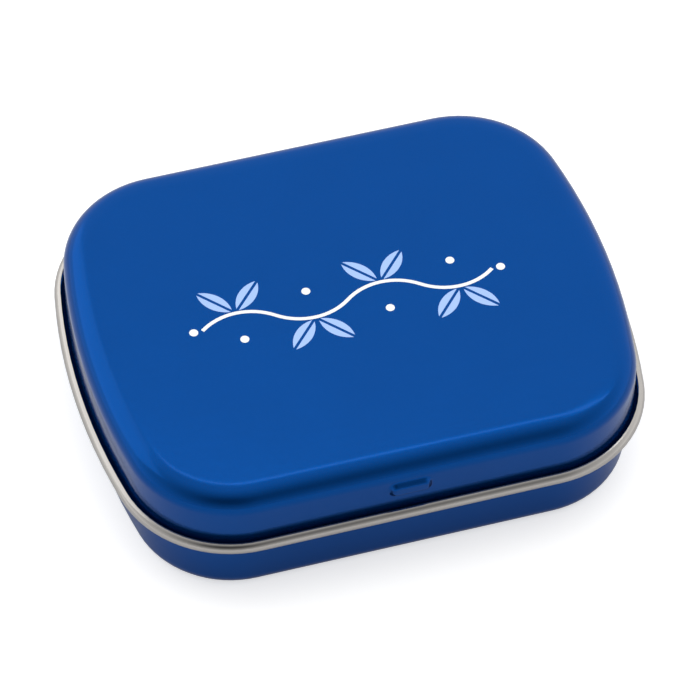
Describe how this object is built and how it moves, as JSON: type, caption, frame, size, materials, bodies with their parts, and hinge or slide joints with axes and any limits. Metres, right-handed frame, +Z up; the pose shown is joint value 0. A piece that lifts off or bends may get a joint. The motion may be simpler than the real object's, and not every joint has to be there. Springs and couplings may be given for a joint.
{
  "type": "mint tin",
  "caption": "Small hinged pocket tin with rounded corners, a curled bare-metal bead round the lid, a snap catch and loose round mints inside.",
  "frame": {"origin": "middle of the underside, on the surface that the tin stands on", "axes": "+Z up; +X along the long sides, to the right when the catch faces the viewer; -Y towards the catch, +Y towards the hinge"},
  "size_m": [0.0604, 0.0492, 0.0154],
  "materials": {
    "base_tinplate": "gloss blue lacquer outside, bare bright tinplate inside",
    "lid_tinplate": "gloss blue lacquer outside, bare bright tinplate inside and on the bead",
    "wire_steel": "bright drawn steel wire",
    "mint_tablet": "matt pressed sugar tablet"
  },
  "bodies": {
    "base": {"base": "base_tinplate", "hinge_wire": "wire_steel", "mints": "mint_tablet"},
    "lid": {"lid": "lid_tinplate"}
  },
  "joints": [
    {"name": "lid_hinge", "type": "hinge", "parent": "base", "child": "lid", "pos_m": [0, 0.02385, 0.0086], "axis": [-1, 0, 0], "range_deg": [0, 105]}
  ]
}
